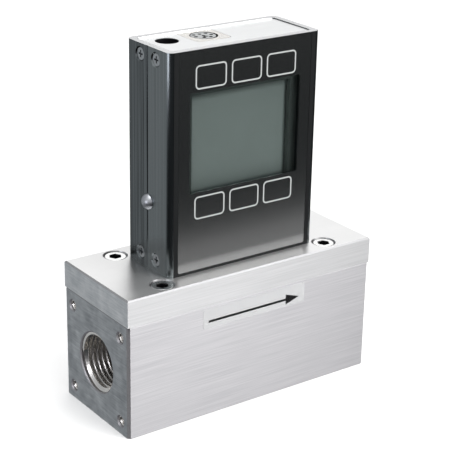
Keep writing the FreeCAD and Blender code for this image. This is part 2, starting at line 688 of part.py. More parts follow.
def sensor_housing(x0, x1, port_places):
    """Sensor housing under the sensor board, with its ports pointing down."""
    foot = BASE_TOP + SENSOR_FOOT_GAP
    top = SENSOR_BOARD_FOOT
    rear = SENSOR_FRONT_Y + SENSOR_DEPTH
    housing = rounded_block(x0, x1, SENSOR_FRONT_Y, rear, foot, top, SENSOR_CORNER_RADIUS, Z_AXIS)
    for x in port_places:
        nozzle = upright(SENSOR_PORT_RADIUS, x, 0, sensor_port_foot(), foot)
        bore = upright(SENSOR_PORT_BORE, x, 0, sensor_port_foot(), top - SENSOR_ROOF)
        housing = housing.fuse(nozzle).cut(bore)
    return housing.removeSplitter()


def differential_sensor():
    """Sensor that compares the pressures on both sides of the laminar element."""
    half = DIFFERENTIAL_SENSOR_WIDTH / 2
    return sensor_housing(-half, half, (-SENSOR_PORT_X, SENSOR_PORT_X))


def absolute_sensor():
    """Sensor of the gas pressure."""
    half = GAUGE_SENSOR_WIDTH / 2
    middle = GAUGE_PORT_X - GAUGE_SENSOR_SHIFT
    return sensor_housing(middle - half, middle + half, (GAUGE_PORT_X,))


def sensor_seals():
    """Seal rings round the sensors' ports."""
    foot = sensor_port_foot() - PORT_SEAL_SECTION / 2
    places = (GAUGE_PORT_X, -SENSOR_PORT_X, SENSOR_PORT_X)
    return Part.makeCompound([square_ring(x, foot, SENSOR_PORT_RADIUS) for x in places])


def sensor_board():
    """Board across the head that carries the sensors."""
    rear = SENSOR_FRONT_Y + SENSOR_BOARD_DEPTH
    width = FILL_X - BOARD_END_GAP
    board = box(-width, width, SENSOR_FRONT_Y, rear, SENSOR_BOARD_FOOT, SENSOR_BOARD_TOP)
    for x in (-STANDOFF_X, STANDOFF_X):
        hole = upright(STANDOFF_BORE + THREAD_GAP, x, STANDOFF_Y, SENSOR_BOARD_FOOT, SENSOR_BOARD_TOP)
        board = board.cut(hole)
    return board


def sensor_standoffs():
    """Two hexagonal spacers under the sensor board."""
    spacers = []
    for x in (-STANDOFF_X, STANDOFF_X):
        spacer = hexagon(V(x, STANDOFF_Y, 0), 2 * STANDOFF_RADIUS, BASE_TOP, SENSOR_BOARD_STANDOFF)
        bore = upright(STANDOFF_BORE + THREAD_GAP, x, STANDOFF_Y, BASE_TOP, SENSOR_BOARD_FOOT)
        spacers.append(spacer.cut(bore))
    return Part.makeCompound(spacers)


def sensor_screws():
    """Two slotted pan head screws that hold the sensor board."""
    head = upright(SENSOR_SCREW_HEAD_RADIUS, 0, 0, 0, SENSOR_SCREW_HEAD_HEIGHT)
    shank = upright(STANDOFF_BORE, 0, 0, -SENSOR_SCREW_LENGTH, 0)
    reach = SENSOR_SCREW_HEAD_RADIUS
    half = SENSOR_SCREW_SLOT / 2
    slot = box(-reach, reach, -half, half, SENSOR_SCREW_HEAD_HEIGHT / 2, SENSOR_SCREW_HEAD_HEIGHT)
    screw = head.fuse(shank).cut(slot).removeSplitter()
    seats = [V(x, STANDOFF_Y, SENSOR_BOARD_TOP) for x in (-STANDOFF_X, STANDOFF_X)]
    return Part.makeCompound([screw.translated(seat) for seat in seats])


def board_connector():
    """Right angle header that joins the two boards."""
    half = HEADER_LENGTH / 2
    rear = BOARD_REAR_Y + HEADER_SIDE
    header = box(-half, half, BOARD_REAR_Y, rear, SENSOR_BOARD_TOP, SENSOR_BOARD_TOP + HEADER_SIDE)
    return header.makeChamfer(HEADER_SIDE / 6, at_level(straight_edges(header, X_AXIS), Y_AXIS, rear))


def main_board():
    """Upright board behind the display, held by tabs in the base block and the cap."""
    width = FILL_X - BOARD_END_GAP
    foot = BASE_TOP + BOARD_FOOT_GAP
    top = CAP_FOOT - BOARD_FOOT_GAP
    board = box(-width, width, BOARD_FRONT_Y, BOARD_REAR_Y, foot, top)
    tab_foot = BASE_TOP - BOARD_SLOT_DEPTH + BOARD_SLOT_GAP
    tab_top = CAP_FOOT + BOARD_SLOT_DEPTH - BOARD_SLOT_GAP
    tabs = [box(-width, -width + BOARD_TAB_WIDTH, BOARD_FRONT_Y, BOARD_REAR_Y, tab_foot, tab_top)]
    tabs.append(box(width - BOARD_TAB_WIDTH, width, BOARD_FRONT_Y, BOARD_REAR_Y, tab_foot, tab_top))
    return board.fuse(tabs).cut(button_room()).removeSplitter()


def button_room():
    """Room that the side button's flange needs when it is pressed, as the solid to take away."""
    end = BUTTON_STEM_X + BUTTON_TRAVEL + BUTTON_ROOM_GAP
    reach = BUTTON_FLANGE_RADIUS + BUTTON_ROOM_GAP
    return box(-INNER_X, end, -reach, reach, BUTTON_Z - reach, BUTTON_Z + reach)


def controller_chip():
    """Square chip on the back of the main board."""
    half = CHIP_SIDE / 2
    foot = BASE_TOP + CHIP_RISE - half
    rear = BOARD_REAR_Y + CHIP_HEIGHT
    chip = box(-half, half, BOARD_REAR_Y, rear, foot, foot + CHIP_SIDE)
    return chip.makeChamfer(CHIP_HEIGHT / 4, at_level(chip.Edges, Y_AXIS, rear))


def smoothing_capacitor():
    """Round can capacitor on the back of the main board."""
    start = V(CAPACITOR_X, BOARD_REAR_Y, BASE_TOP + CAPACITOR_RISE)
    end = start + V(0, CAPACITOR_LENGTH, 0)
    can = rod(CAPACITOR_RADIUS, start, end)
    return can.makeChamfer(CAPACITOR_RADIUS / 6, at_level(can.Edges, Y_AXIS, end.y))


def half_shell(face):
    """Channel section of one shell half, open towards the seam."""
    y0, y1 = sorted((0, face * HEAD_Y))
    shell = box(-HEAD_X, HEAD_X, y0, y1, PLATE_TOP, HEAD_TOP)
    corners = at_level(straight_edges(shell, Z_AXIS), Y_AXIS, face * HEAD_Y)
    shell = shell.makeFillet(HEAD_CORNER_RADIUS, corners)
    seam_edges = at_level(straight_edges(shell, Z_AXIS), Y_AXIS, 0)
    shell = shell.makeChamfer(SEAM_CHAMFER, seam_edges)
    hollow = box(-INNER_X, INNER_X, -INNER_Y, INNER_Y, PLATE_TOP, HEAD_TOP)
    return shell.cut(hollow.makeFillet(INNER_CORNER_RADIUS, straight_edges(hollow, Z_AXIS)))


def seam_tongue(gap):
    """Tongues of the front half along both seams, or their rebates with a gap."""
    tongues = []
    for side in (-1, 1):
        x0, x1 = sorted((side * INNER_X, side * (INNER_X + TONGUE_WIDTH + gap)))
        tongues.append(box(x0, x1, -gap, TONGUE_LENGTH + gap, PLATE_TOP, HEAD_TOP))
    return tongues


def shell_side_holes(face):
    """Countersunk holes through the sides of one shell half, as solids to take away."""
    hole_radius = SHELL_SCREW_SHANK_RADIUS + SHELL_HOLE_GAP
    slope = math.tan(math.radians(COUNTERSINK_HALF_ANGLE))
    mouth_radius = SHELL_SCREW_HEAD_RADIUS + SHELL_SCREW_SINK * slope + SHELL_SCREW_RIM * slope
    depth = (mouth_radius - hole_radius) / slope
    holes = []
    for side in (-1, 1):
        for z in SHELL_SCREW_LEVELS:
            y = face * SHELL_SCREW_Y
            mouth = V(side * HEAD_X, y, z)
            holes.append(rod(hole_radius, V(side * (INNER_X - CUT_OVERSHOOT), y, z), mouth))
            holes.append(cone(mouth_radius, hole_radius, mouth, mouth - V(side * depth, 0, 0)))
    return holes


def button_hole():
    """Round hole at the seam for the side button, as the solid to take away."""
    radius = BUTTON_RADIUS + BUTTON_FIT_GAP
    return along_press(radius, -HEAD_X - CUT_OVERSHOOT, -INNER_X + CUT_OVERSHOOT)


def window_block(extra, y0, y1):
    """Window sized block, larger by extra on each side, between two depths."""
    x = WINDOW_X + extra
    foot = WINDOW_BOTTOM - extra
    top = WINDOW_TOP + extra
    return rounded_block(-x, x, y0, y1, foot, top, WINDOW_CORNER_RADIUS, Y_AXIS)


def label_block(extra, y0, y1):
    """Label sized block, larger by extra on each side, between two depths."""
    x = LABEL_X + extra
    return rounded_block(-x, x, y0, y1, LABEL_FOOT - extra, LABEL_TOP + extra, LABEL_CORNER_RADIUS, Y_AXIS)


def circuit_tail_place():
    """Height of the slot that lets the keypad circuit's tail into the head."""
    return (LABEL_FOOT + WINDOW_BOTTOM) / 2


def front_shell():
    """Front half of the head's housing, with the label recess and the window."""
    shell = half_shell(-1).fuse(seam_tongue(0)).removeSplitter()
    recess = label_block(LABEL_EDGE_GAP, -HEAD_Y - CUT_OVERSHOOT, RECESS_Y)
    pane_seat = window_block(PANE_FLANGE_WIDTH + WINDOW_GAP, -HEAD_Y, PANE_BACK_Y)
    opening = window_block(PANE_FLANGE_WIDTH - PANE_LEDGE, -HEAD_Y, -INNER_Y + CUT_OVERSHOOT)
    tail_half = CIRCUIT_TAIL_WIDTH / 2 + WINDOW_GAP
    tail_foot = circuit_tail_place() - CIRCUIT_THICKNESS
    tail_top = tail_foot + 3 * CIRCUIT_THICKNESS
    slot = box(-tail_half, tail_half, -HEAD_Y, -INNER_Y + CUT_OVERSHOOT, tail_foot, tail_top)
    cuts = [recess, pane_seat, opening, slot, button_hole()]
    return shell.cut(cuts + shell_side_holes(-1))


def rear_shell():
    """Rear half of the head's housing."""
    shell = half_shell(1)
    return shell.cut(seam_tongue(TONGUE_GAP) + [button_hole()] + shell_side_holes(1))


def flat_head_screw():
    """Countersunk screw with a cross recess, its face at the origin and pointing along -Z."""
    slope = math.tan(math.radians(COUNTERSINK_HALF_ANGLE))
    cone_height = (SHELL_SCREW_HEAD_RADIUS - SHELL_SCREW_SHANK_RADIUS) / slope
    rim_foot = V(0, 0, -SHELL_SCREW_RIM)
    rim = rod(SHELL_SCREW_HEAD_RADIUS, rim_foot, ORIGIN)
    neck = rim_foot - V(0, 0, cone_height)
    taper = cone(SHELL_SCREW_HEAD_RADIUS, SHELL_SCREW_SHANK_RADIUS, rim_foot, neck)
    shank = rod(SHELL_SCREW_SHANK_RADIUS, V(0, 0, -SHELL_SCREW_LENGTH), neck)
    reach = SHELL_SCREW_CROSS_LENGTH / 2
    half = SHELL_SCREW_CROSS_WIDTH / 2
    depth = SHELL_SCREW_CROSS_DEPTH
    cross = [box(-reach, reach, -half, half, -depth, 0), box(-half, half, -reach, reach, -depth, 0)]
    return rim.fuse([taper, shank]).cut(cross).removeSplitter()


def shell_screws():
    """Eight countersunk screws through the shell sides."""
    screws = []
    for side, face, z in shell_screw_places():
        screw = flat_head_screw()
        screw.rotate(ORIGIN, Y_AXIS, side * 90)
        place = V(side * (HEAD_X - SHELL_SCREW_SINK), face * SHELL_SCREW_Y, z)
        screws.append(screw.translated(place))
    return Part.makeCompound(screws)


def top_cap():
    """Cap that closes the head and holds both sockets."""
    cap = box(-FILL_X, FILL_X, -FILL_Y, FILL_Y, CAP_FOOT, CAP_TOP)
    cap = cap.makeFillet(INNER_CORNER_RADIUS, straight_edges(cap, Z_AXIS))
    sleeve_radius = SOCKET_RADIUS + SOCKET_SHELL_WALL + FLANGE_GAP
    cuts = [upright(JACK_HOLE_RADIUS, JACK_X, SOCKET_LINE_Y, CAP_FOOT, CAP_TOP)]
    cuts.append(upright(sleeve_radius, SOCKET_X, SOCKET_LINE_Y, CAP_FOOT, CAP_TOP))
    cuts.append(flange_block(FLANGE_GAP, FILL_Y + CUT_OVERSHOOT))
    cuts += shell_screw_threads()
    cuts += board_slots(CAP_FOOT, CAP_FOOT + BOARD_SLOT_DEPTH)
    return cap.cut(cuts)


def flange_block(gap, rear):
    """Data socket's square flange, or its pocket in the cap with a gap."""
    half = FLANGE_WIDTH / 2 + gap
    front = SOCKET_LINE_Y - half
    block = box(SOCKET_X - half, SOCKET_X + half, front, rear, FLANGE_FOOT, CAP_TOP)
    return block.makeFillet(FLANGE_CORNER_RADIUS, at_level(straight_edges(block, Z_AXIS), Y_AXIS, front))


def socket_shell():
    """Metal shell of the data socket, a sleeve with a square flange."""
    outer_radius = SOCKET_RADIUS + SOCKET_SHELL_WALL
    sleeve = upright(outer_radius, SOCKET_X, SOCKET_LINE_Y, SOCKET_BODY_TOP, FLANGE_FOOT)
    bore = upright(SOCKET_RADIUS, SOCKET_X, SOCKET_LINE_Y, SOCKET_BODY_TOP, CAP_TOP)
    return flange_block(0, FILL_Y).fuse(sleeve).cut(bore).removeSplitter()


def contact_places():
    """Middle of each contact of the data socket."""
    return [(SOCKET_X + x, SOCKET_LINE_Y + y) for y, row in CONTACT_ROWS for x in row]


def socket_body():
    """Moulded body of the data socket with its round insulator."""
    half = FLANGE_WIDTH / 2 - SOCKET_SHELL_WALL
    foot = SOCKET_BODY_TOP - SOCKET_BODY_HEIGHT
    rear = BOARD_REAR_Y + SOCKET_BODY_DEPTH
    body = box(SOCKET_X - half, SOCKET_X + half, BOARD_REAR_Y, rear, foot, SOCKET_BODY_TOP)
    face = CAP_TOP - INSULATOR_SINK
    body = body.fuse(upright(INSULATOR_RADIUS, SOCKET_X, SOCKET_LINE_Y, SOCKET_BODY_TOP, face))
    x0 = SOCKET_X - KEYWAY_WIDTH / 2
    y0 = SOCKET_LINE_Y - KEYWAY_DROP - KEYWAY_HEIGHT / 2
    cuts = [box(x0, x0 + KEYWAY_WIDTH, y0, y0 + KEYWAY_HEIGHT, face - KEYWAY_DEPTH, face)]
    for x, y in contact_places():
        cuts.append(upright(CONTACT_RADIUS + THREAD_GAP, x, y, foot, face))
    return body.cut(cuts)


def socket_contacts():
    """Spring contacts inside the data socket."""
    foot = SOCKET_BODY_TOP - SOCKET_BODY_HEIGHT
    top = CAP_TOP - INSULATOR_SINK - CONTACT_SINK
    return Part.makeCompound([upright(CONTACT_RADIUS, x, y, foot, top) for x, y in contact_places()])


def jack_body():
    """Moulded body of the power jack, under its hole in the cap."""
    half = JACK_BODY_WIDTH / 2
    rear = BOARD_REAR_Y + SOCKET_BODY_DEPTH
    foot = CAP_FOOT - JACK_BODY_HEIGHT
    body = box(JACK_X - half, JACK_X + half, BOARD_REAR_Y, rear, foot, CAP_FOOT)
    bore_floor = CAP_FOOT - JACK_BORE_DEPTH
    bore = upright(JACK_BORE_RADIUS, JACK_X, SOCKET_LINE_Y, bore_floor, CAP_FOOT)
    pin_hole = upright(JACK_PIN_RADIUS + THREAD_GAP, JACK_X, SOCKET_LINE_Y, foot, bore_floor)
    return body.cut([bore, pin_hole])


def jack_pin():
    """Centre pin of the power jack."""
    tip = CAP_FOOT - JACK_PIN_RECESS
    pin = upright(JACK_PIN_RADIUS, JACK_X, SOCKET_LINE_Y, CAP_FOOT - JACK_BODY_HEIGHT, tip)
    return pin.makeChamfer(JACK_PIN_RADIUS / 2, at_level(pin.Edges, Z_AXIS, tip))


def label_layer(front, thickness):
    """One layer of the keypad label, with the window cut out."""
    back = front + thickness
    return label_block(0, front, back).cut(window_block(0, front, back))


def keypad_overlay():
    """Printed front film with the key fields."""
    return label_layer(OVERLAY_Y, OVERLAY_THICKNESS)


def keypad_circuit():
    """Circuit layer behind the film, with its tail bent into the head."""
    tail_half = CIRCUIT_TAIL_WIDTH / 2
    tail_z = circuit_tail_place()
    tail = box(-tail_half, tail_half, CIRCUIT_Y, BOARD_FRONT_Y, tail_z, tail_z + CIRCUIT_THICKNESS)
    return label_layer(CIRCUIT_Y, CIRCUIT_THICKNESS).fuse(tail).removeSplitter()


def display_window():
    """Clear pane whose raised middle fills the label's window."""
    middle = window_block(-WINDOW_GAP, OVERLAY_Y, RECESS_Y)
    flange = window_block(PANE_FLANGE_WIDTH, RECESS_Y, PANE_BACK_Y)
    return middle.fuse(flange).removeSplitter()


def lcd_frame():
    """Frame that holds the display glass between the shell and the board."""
    x = GLASS_X + FRAME_WALL
    frame = box(-x, x, -INNER_Y, BOARD_FRONT_Y, GLASS_LOW - FRAME_WALL, GLASS_HIGH + FRAME_WALL)
    frame = frame.cut(box(-DISPLAY_X, DISPLAY_X, -INNER_Y, GLASS_Y, DISPLAY_LOW, DISPLAY_HIGH))
    return frame.cut(box(-GLASS_X, GLASS_X, GLASS_Y, BOARD_FRONT_Y, GLASS_LOW, GLASS_HIGH))


def lcd_glass():
    """Display glass."""
    return box(-GLASS_X, GLASS_X, GLASS_Y, BACKLIGHT_Y, GLASS_LOW, GLASS_HIGH)


def backlight_panel():
    """Light guide between the display glass and the board."""
    low = GLASS_LOW + CONTACT_STRIP_HEIGHT
    high = GLASS_HIGH - CONTACT_STRIP_HEIGHT
    return box(-DISPLAY_X, DISPLAY_X, BACKLIGHT_Y, BOARD_FRONT_Y, low, high)


def lcd_contact_strips():
    """Rubber strips that join the display glass to the board."""
    strips = []
    for foot in (GLASS_LOW, GLASS_HIGH - CONTACT_STRIP_HEIGHT):
        strips.append(box(-GLASS_X, GLASS_X, BACKLIGHT_Y, BOARD_FRONT_Y, foot, foot + CONTACT_STRIP_HEIGHT))
    return Part.makeCompound(strips)


def side_button():
    """Turned button with a domed end outside and a flange inside."""
    dome_radius = (BUTTON_RADIUS ** 2 + BUTTON_PROUD ** 2) / (2 * BUTTON_PROUD)
    neck = along_press(BUTTON_RADIUS, -HEAD_X, BUTTON_FLANGE_X)
    ball = Part.makeSphere(dome_radius, V(-HEAD_X - BUTTON_PROUD + dome_radius, 0, BUTTON_Z))
    cap = along_press(BUTTON_RADIUS, -HEAD_X - 2 * BUTTON_PROUD, -HEAD_X)
    dome = ball.common(cap)
    flange = along_press(BUTTON_FLANGE_RADIUS, BUTTON_FLANGE_X, BUTTON_STEM_X)
    stem = along_press(BUTTON_STEM_RADIUS, BUTTON_STEM_X, PLUNGER_X)
    return neck.fuse([dome, flange, stem]).removeSplitter()


def switch_plunger():
    """Plunger of the side button's switch."""
    return along_press(PLUNGER_RADIUS, PLUNGER_X, PLUNGER_X + PLUNGER_LENGTH)


def switch_housing():
    """Housing of the side button's switch, on the back of the main board."""
    foot = BUTTON_Z - SWITCH_HEIGHT / 2
    body = box(SWITCH_X, SWITCH_X + SWITCH_LENGTH, BOARD_REAR_Y, -BOARD_REAR_Y, foot, foot + SWITCH_HEIGHT)
    depth = PLUNGER_LENGTH - PLUNGER_PROUD + BUTTON_TRAVEL + HOLE_END_GAP / 2
    bore = along_press(PLUNGER_RADIUS + PLUNGER_FIT_GAP, SWITCH_X, SWITCH_X + depth)
    return body.cut(bore)


def flow_arrow_label():
    """Thin label on the front face that shows the flow direction."""
    half = ARROW_LABEL_LENGTH / 2
    front = -SIDE_Y - ARROW_LABEL_THICKNESS
    top = BODY_HEIGHT - ARROW_LABEL_DROP
    foot = top - ARROW_LABEL_HEIGHT
    return rounded_block(-half, half, front, -SIDE_Y, foot, top, ARROW_LABEL_CORNER, Y_AXIS)


PARTS = (
    flow_body, top_plate, cover_screws, laminar_element, element_seals, spacer_sleeve,
    flow_straightener, retaining_ring, channel_seals, port_seals, base_block, base_screws,
    temperature_probe, differential_sensor, absolute_sensor, sensor_seals, sensor_board,
    sensor_standoffs, sensor_screws, board_connector, main_board, controller_chip,
    smoothing_capacitor, front_shell, rear_shell, shell_screws, top_cap, socket_shell,
    socket_body, socket_contacts, jack_body, jack_pin, keypad_overlay, keypad_circuit,
    display_window, lcd_frame, lcd_glass, backlight_panel, lcd_contact_strips, side_button,
    switch_plunger, switch_housing, flow_arrow_label,
)

os.makedirs("parts", exist_ok=True)
for part in PARTS:
    shape = part()
    shape.exportStep(os.path.join("parts", part.__name__ + ".step"))
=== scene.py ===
import json
import math

import bmesh
import bpy
from mathutils import Matrix, Vector


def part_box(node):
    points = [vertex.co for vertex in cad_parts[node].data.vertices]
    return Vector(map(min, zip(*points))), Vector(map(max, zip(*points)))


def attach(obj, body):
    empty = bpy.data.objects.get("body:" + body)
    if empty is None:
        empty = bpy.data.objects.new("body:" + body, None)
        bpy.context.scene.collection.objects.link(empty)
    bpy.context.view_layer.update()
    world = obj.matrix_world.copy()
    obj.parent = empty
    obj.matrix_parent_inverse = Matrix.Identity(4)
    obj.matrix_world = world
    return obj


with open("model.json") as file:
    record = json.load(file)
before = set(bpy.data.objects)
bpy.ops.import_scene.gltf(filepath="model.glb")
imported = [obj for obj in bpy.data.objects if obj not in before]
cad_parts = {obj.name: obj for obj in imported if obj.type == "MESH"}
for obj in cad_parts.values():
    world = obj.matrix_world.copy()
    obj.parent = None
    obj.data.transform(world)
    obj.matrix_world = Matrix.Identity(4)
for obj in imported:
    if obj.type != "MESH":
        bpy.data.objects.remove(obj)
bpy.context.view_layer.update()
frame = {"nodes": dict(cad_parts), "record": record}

MM = 0.001
BODY = "meter"
MERGE_DISTANCE = 1e-7

# Places where a finish or a painted shade changes, in millimetres, and how squarely a face looks along an axis to
# count
BARE_END = 1.0
GLASS_BORDER = 2.4
# Widths of the painted shadow at the sides and the top of the glass's opening, standing in for the window edges'
# shadow on the recessed glass
GLASS_SHADE_SIDE = 1.6
GLASS_SHADE_TOP = 3.0
# Depth below a cover screw's top from which the screw is painted in shade
SCREW_SHADE_BELOW_TOP = 0.4
ROUGHLY_SQUARE = 0.8
NEARLY_SQUARE = 0.9
SQUARE = 0.95
EXACTLY_SQUARE = 0.99

# What metals and plain plastics add to a surface, beside colour and roughness
METAL = {"Metallic": 1.0}
PLASTIC = {"IOR": 1.5}

# Share of haze in the label, and a direction close to +Z, tilted so that no face's tangent vanishes
LABEL_HAZE = 0.4
NEARLY_UP = (0.03, 0.06, 1.0)

# Sizes of the new pieces, in millimetres, and their steps round a circle, a corner or a turn. A row of contacts is
# its Y, and then the X of each of its holes.
KEY_WIDTH = 12.15
KEY_HEIGHT = 8.0
KEY_CORNER = 1.5
KEY_LINE = 0.5
KEY_PITCH = 14.1
KEY_ROW_ABOVE_WINDOW = 4.85
KEY_ROW_BELOW_WINDOW = 5.35
KEY_CORNER_STEPS = 6
WINDOW_EDGE = 1.6
INK_THICKNESS = 0.02
INSULATOR_RADIUS = 4.25
INSULATOR_STEPS = 48
INSULATOR_TOP_DROP = 0.1
CONTACT_ROWS = ((2.1, (-2.4, 0.0, 2.4)), (-0.3, (-3.0, 0.0, 3.0)), (-2.6, (-1.3, 1.3)))
CONTACT_HOLE_RADIUS = 0.68
CONTACT_HOLE_STEPS = 16
KEYWAY_WIDTH = 1.9
KEYWAY_HEIGHT = 0.9
KEYWAY_DROP = 1.45
LINER_RADIUS = 3.9
LINER_WALL = 0.25
LINER_DROP = 0.15
LINER_STEPS = 64
THREAD_PITCH = 1.814
THREAD_DEPTH = 1.2
THREAD_CREST = 0.25
THREAD_STEPS = 60
THREAD_ROOT = 0.02
THREAD_INSET = 0.1
SCREW_PITCH = 0.794
SCREW_DEPTH = 0.4
SCREW_CREST = 0.1
SCREW_STEPS = 24
ARROW_SHAFT = 0.85
ARROW_HEAD_LENGTH = 5.8
ARROW_HEAD_HALF_HEIGHT = 1.9
ARROW_INSET = 2.2
ARROW_FROM_FOOT = 2.5
FLOOR_HALF = 6000.0
FLOOR_DROP = 0.1

# A level direction to the studio's near right, whose opposite is the far left; where along it the room and the
# table change their tone, and at what heights the table gives way to the room
NEAR_RIGHT = (0.6, -0.8, 0.0)
ROOM_FADE = (-0.95, -0.45)
TABLE_FADE = (-0.88, -0.66)
HORIZON_FADE = (-0.1, 0.2)

# Soft lights, in metres and watts: name, place, target, width, height, power, colour
LIGHTS = (
    ("front_right_light", (0.52, -1.09, 0.42), (0, 0, 0.06), 0.8, 0.45, 12.8, "#ffffff"),
    ("rear_light", (0.5, 0.8, 0.7), (0, 0, 0.08), 0.9, 0.5, 2.0, "#ffffff"),
    ("overhead_light", (-0.1, -0.2, 1.1), (0, 0, 0.05), 0.8, 0.8, 6.5, "#ffffff"),
    ("port_light", (-0.26, -0.02, 0.075), (-0.04, 0, 0.06), 0.1, 0.045, 0.078, "#f6f6ff"),
    ("table_light", (0.09, -0.119, 0.002), (0.09, -0.119, 1.0), 0.2, 0.016, 0.025, "#ffffff"),
)

# Camera, from the photograph's perspective; angles in degrees, lengths in millimetres
CAMERA_AZIMUTH = -35.902
CAMERA_ELEVATION = 21.419
CAMERA_ROLL = 1.114
CAMERA_PLACE = (-267.04, -371.02, 238.15)
FOCAL_PIXELS = 1418.78
IMAGE_PIXELS = 450
SENSOR = 36.0
CLIP_START = 10.0
CLIP_END = 50000.0


# Small helpers

def linear(colour):
    """An sRGB hex colour as linear red, green, blue and alpha."""
    shares = [int(colour[i:i + 2], 16) / 255 for i in (1, 3, 5)]
    return [s / 12.92 if s <= 0.04045 else ((s + 0.055) / 1.055) ** 2.4 for s in shares] + [1.0]


def add(tree, kind, inputs=None, **settings):
    """Adds a node with its settings and links.

    An input is a number, a vector, an sRGB hex colour, another node's output, or a node, which stands for its
    first output in use.
    """
    made = tree.nodes.new("ShaderNode" + kind)
    for name, value in settings.items():
        setattr(made, name, value)
    for socket, value in (inputs or {}).items():
        if isinstance(value, bpy.types.Node):
            value = next(output for output in value.outputs if output.enabled)
        if isinstance(value, bpy.types.NodeSocket):
            tree.links.new(value, made.inputs[socket])
        else:
            made.inputs[socket].default_value = linear(value) if isinstance(value, str) else value
    return made


def material(name, build):
    """A new material whose nodes are made by a function that returns the surface shader."""
    made = bpy.data.materials.new(name)
    made.use_nodes = True
    tree = made.node_tree
    tree.nodes.clear()
    add(tree, "OutputMaterial", {"Surface": build(tree)})
    return made


def grain(tree, sizes, detail=2.0):
    """Noise from 0 to 1 whose patches have the given sizes in millimetres along X, Y and Z."""
    place = add(tree, "TexCoord").outputs["Object"]
    mapped = add(tree, "Mapping", {"Vector": place, "Scale": [1 / (size * MM) for size in sizes]})
    return add(tree, "TexNoise", {"Vector": mapped, "Scale": 1.0, "Detail": detail, "Roughness": 0.6})


def facing(tree, axis, limit=ROUGHLY_SQUARE):
    """1 on faces that look along an axis, 0 on the others."""
    normal = add(tree, "NewGeometry").outputs["True Normal"]
    along = add(tree, "SeparateXYZ", {"Vector": normal}).outputs[axis]
    size = add(tree, "Math", {0: along}, operation="ABSOLUTE")
    return add(tree, "Math", {0: size, 1: limit}, operation="GREATER_THAN")


def off_middle(tree, axis, middle):
    """Distance on the object from a middle along an axis, in metres."""
    place = add(tree, "TexCoord").outputs["Object"]
    along = add(tree, "SeparateXYZ", {"Vector": place}).outputs[axis]
    off = add(tree, "Math", {0: along, 1: middle}, operation="SUBTRACT")
    return add(tree, "Math", {0: off}, operation="ABSOLUTE")


def finish(tree, marks, colour, rough, optics, bump_mm=0.0):
    """Surface whose roughness goes from one value to another, and whose bumps rise, with a noise."""
    inputs = {
        "Base Color": colour, **optics,
        "Roughness": add(tree, "MapRange", {"Value": marks, "To Min": rough[0], "To Max": rough[1]})}
    if bump_mm:
        inputs["Normal"] = add(tree, "Bump", {"Height": marks, "Distance": bump_mm * MM, "Strength": 1.0})
    return add(tree, "BsdfPrincipled", inputs)


def speckled(tree, sizes, colours, rough, optics, detail=2.0, bump_mm=0.0):
    """Surface whose colour, roughness and bumps all follow one noise."""
    marks = grain(tree, sizes, detail)
    colour = add(tree, "Mix", {"Factor": marks, "A": colours[0], "B": colours[1]}, data_type="RGBA")
    return finish(tree, marks, colour, rough, optics, bump_mm)


def two_toned(tree, sizes, share, plain, chosen, rough, optics, detail=2.0):
    """Surface with one pair of colours where a share is 0 and another where it is 1, both following one noise."""
    marks = grain(tree, sizes, detail)
    first, second = [add(tree, "Mix", {"Factor": marks, "A": dark, "B": light}, data_type="RGBA")
                     for dark, light in (plain, chosen)]
    colour = add(tree, "Mix", {"Factor": share, "A": first, "B": second}, data_type="RGBA")
    return finish(tree, marks, colour, rough, optics)


# Materials. Sanding lines, grit, beads and the grain of moulds are finer on the real pieces. They are drawn as
# coarse as they need to show, from 0.2 to 1.1 mm.

def brushed_stainless(tree, dark, light, end_dark, end_light):
    """Stainless steel, milled and belt sanded: long lines on the sides, a finer ground finish on top."""
    end_face = facing(tree, "X")
    top_face = facing(tree, "Z")
    long_lines = grain(tree, (30.0, 0.35, 0.35), 3.0)
    end_lines = grain(tree, (0.35, 9.0, 0.3), 3.0)
    clouds = grain(tree, (14.0, 9.0, 9.0), 3.0)
    smears = grain(tree, (9.0, 5.0, 5.0), 4.0)
    lines = add(tree, "Mix", {"Factor": end_face, "A": long_lines, "B": end_lines})
    end_marks = add(tree, "Mix", {"Factor": 0.5, "A": smears, "B": lines})
    side_share = add(tree, "MapRange", {"Value": lines, "From Min": 0.3, "From Max": 0.7})
    end_share = add(tree, "MapRange", {"Value": end_marks, "From Min": 0.34, "From Max": 0.66})
    side_colour = add(tree, "Mix", {"Factor": side_share, "A": dark, "B": light}, data_type="RGBA")
    end_colour = add(tree, "Mix", {"Factor": end_share, "A": end_dark, "B": end_light}, data_type="RGBA")
    top_colour = add(tree, "Mix", {"Factor": clouds, "A": "#c4c4c4", "B": "#d2d2d1"}, data_type="RGBA")
    below = add(tree, "Mix", {"Factor": end_face, "A": side_colour, "B": end_colour}, data_type="RGBA")
    colour = add(tree, "Mix", {"Factor": top_face, "A": below, "B": top_colour}, data_type="RGBA")
    side_rough = add(tree, "MapRange", {"Value": clouds, "To Min": 0.46, "To Max": 0.54})
    top_rough = add(tree, "MapRange", {"Value": clouds, "To Min": 0.32, "To Max": 0.38})
    return add(tree, "BsdfPrincipled", {
        "Base Color": colour, "Metallic": 1.0, "Anisotropic": 0.85,
        "Roughness": add(tree, "Mix", {"Factor": top_face, "A": side_rough, "B": top_rough}),
        "Tangent": add(tree, "CombineXYZ", {"Y": top_face, "Z": 1.0}),
        "Normal": add(tree, "Bump", {"Height": lines, "Distance": 0.006 * MM, "Strength": 1.0})})


def block_stainless(tree):
    """Brushed stainless steel of the flow block."""
    return brushed_stainless(tree, "#abaaad", "#bdbcbe", "#9b9fa3", "#d8dbdd")


def plate_stainless(tree):
    """Brushed stainless steel of the top plate, sanded a little finer, with painted light on its end faces, which
    are far paler than the block's.
    """
    # Painted light: the near white end colours stand in for the light that falls on the plate's ends
    return brushed_stainless(tree, "#b2b2b3", "#c2c2c3", "#cdd1d4", "#f8f9fa")


def turned_steel(tree):
    """Stainless steel cut by a tap or a lathe: bright, a little warm from the cutting oil."""
    return speckled(tree, (0.2, 3.0, 3.0), ("#e2ded9", "#f8f6f3"), (0.2, 0.3), METAL, bump_mm=0.004)


